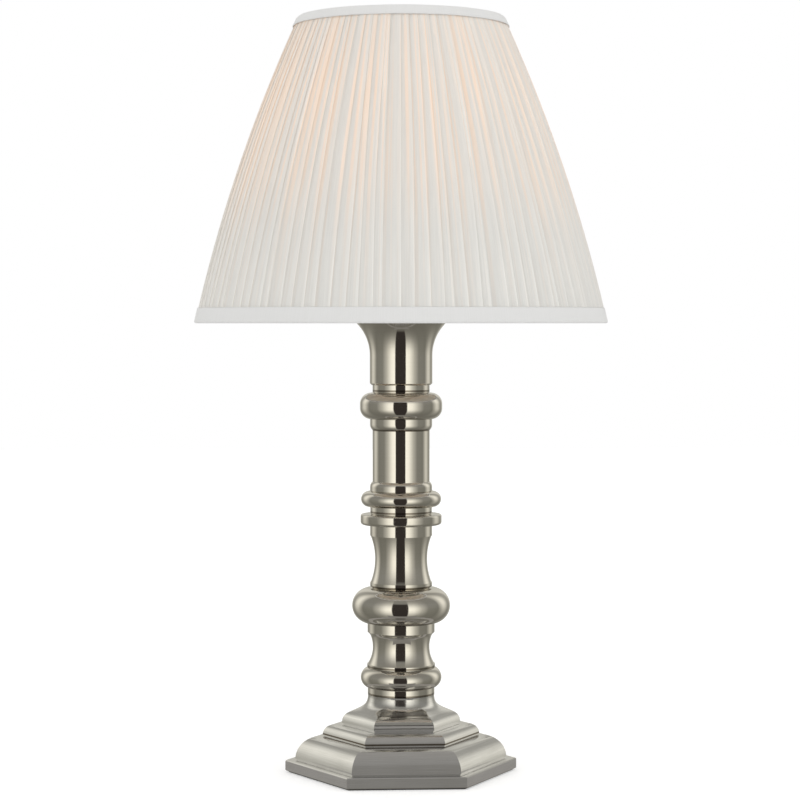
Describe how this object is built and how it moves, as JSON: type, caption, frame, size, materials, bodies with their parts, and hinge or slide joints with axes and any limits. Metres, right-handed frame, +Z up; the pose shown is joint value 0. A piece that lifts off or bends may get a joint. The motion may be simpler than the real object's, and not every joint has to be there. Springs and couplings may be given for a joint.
{
  "type": "candlestick lamp",
  "caption": "Table lamp with a turned polished nickel candlestick stem on a stepped hexagonal foot, and a pleated off-white bowed shade held by a harp and finial.",
  "frame": {"origin": "centre of the underside of the felt pad, on the stem's axis", "axes": "+Z up the stem, -Y towards the front facet of the foot, +X towards a corner of the foot on the right"},
  "size_m": [0.4128, 0.4128, 0.758],
  "materials": {
    "polished_nickel": "polished nickel plate with a faint satin grain",
    "bright_steel": "bright plated steel wire and fasteners",
    "socket_nickel": "thin drawn shell, bright nickel",
    "cast_iron": "as cast, black",
    "felt": "pressed felt",
    "black_plastic": "satin black moulding",
    "fibre_liner": "brown fibre sleeve",
    "phenolic": "black phenolic moulding",
    "brass": "plain drawn brass",
    "bulb_glass": "frosted white glass",
    "clear_glass": "clear glass mount",
    "bulb_cap_metal": "drawn bright cap",
    "pleated_cloth": "off-white pleated cloth, slightly translucent",
    "lining_cloth": "smooth off-white lining",
    "band_cloth": "folded off-white trim band"
  },
  "bodies": {
    "stand": {"felt_pad": "felt", "foot_plate": "polished_nickel", "base_weight": "cast_iron", "rod_lock_nut": "bright_steel", "rod_washer": "bright_steel", "base_tier_lower": "polished_nickel", "base_tier_middle": "polished_nickel", "base_tier_upper": "polished_nickel", "cord_bushing": "black_plastic", "base_collar": "polished_nickel", "lower_bead": "polished_nickel", "lower_vase": "polished_nickel", "main_knop": "polished_nickel", "upper_vase": "polished_nickel", "disc_flange": "polished_nickel", "spacer_ring": "polished_nickel", "upper_bead": "polished_nickel", "column_foot_ring": "polished_nickel", "column_tube": "polished_nickel", "column_head_ring": "polished_nickel", "upper_knop": "polished_nickel", "neck_ring": "polished_nickel", "candle_cup": "polished_nickel", "cup_cap": "polished_nickel", "cup_lock_nut": "bright_steel", "threaded_rod": "bright_steel", "harp_saddle": "bright_steel", "socket_cap": "socket_nickel", "socket_shell": "socket_nickel", "socket_insulator": "fibre_liner", "socket_interior": "phenolic", "socket_screw_shell": "brass", "socket_contact": "brass"},
    "harp": {"harp_wire": "bright_steel", "harp_stud": "bright_steel"},
    "sleeve_left": {"harp_sleeve_left": "bright_steel"},
    "sleeve_right": {"harp_sleeve_right": "bright_steel"},
    "switch": {"switch_shaft": "brass", "switch_knob": "black_plastic"},
    "bulb": {"bulb_glass": "bulb_glass", "bulb_cap": "bulb_cap_metal", "bulb_contact": "bulb_cap_metal", "bulb_stem": "clear_glass", "bulb_filament": "bright_steel"},
    "shade": {"shade_pleats": "pleated_cloth", "shade_lining": "lining_cloth", "shade_top_band": "band_cloth", "shade_bottom_band": "band_cloth", "shade_top_ring": "bright_steel", "shade_bottom_ring": "bright_steel", "shade_ribs": "bright_steel", "shade_spider": "bright_steel"},
    "finial": {"finial": "polished_nickel"}
  },
  "joints": [
    {"name": "harp_lift", "type": "slide", "parent": "stand", "child": "harp", "axis": [0, 0, 1], "range_m": [0, 0.02]},
    {"name": "sleeve_left_slide", "type": "slide", "parent": "harp", "child": "sleeve_left", "axis": [0, 0, 1], "range_m": [0, 0.014]},
    {"name": "sleeve_right_slide", "type": "slide", "parent": "harp", "child": "sleeve_right", "axis": [0, 0, 1], "range_m": [0, 0.014]},
    {"name": "switch_turn", "type": "hinge", "parent": "stand", "child": "switch", "pos_m": [0, -0.02, 0.4843], "axis": [0, -1, 0], "continuous": true},
    {"name": "bulb_turn", "type": "hinge", "parent": "stand", "child": "bulb", "pos_m": [0, 0, 0.5], "axis": [0, 0, 1], "range_deg": [0, 1620]},
    {"name": "shade_lift", "type": "slide", "parent": "harp", "child": "shade", "axis": [0, 0, 1], "range_m": [0, 0.31]},
    {"name": "finial_turn", "type": "hinge", "parent": "shade", "child": "finial", "pos_m": [0, 0, 0.74], "axis": [0, 0, 1], "continuous": true}
  ]
}
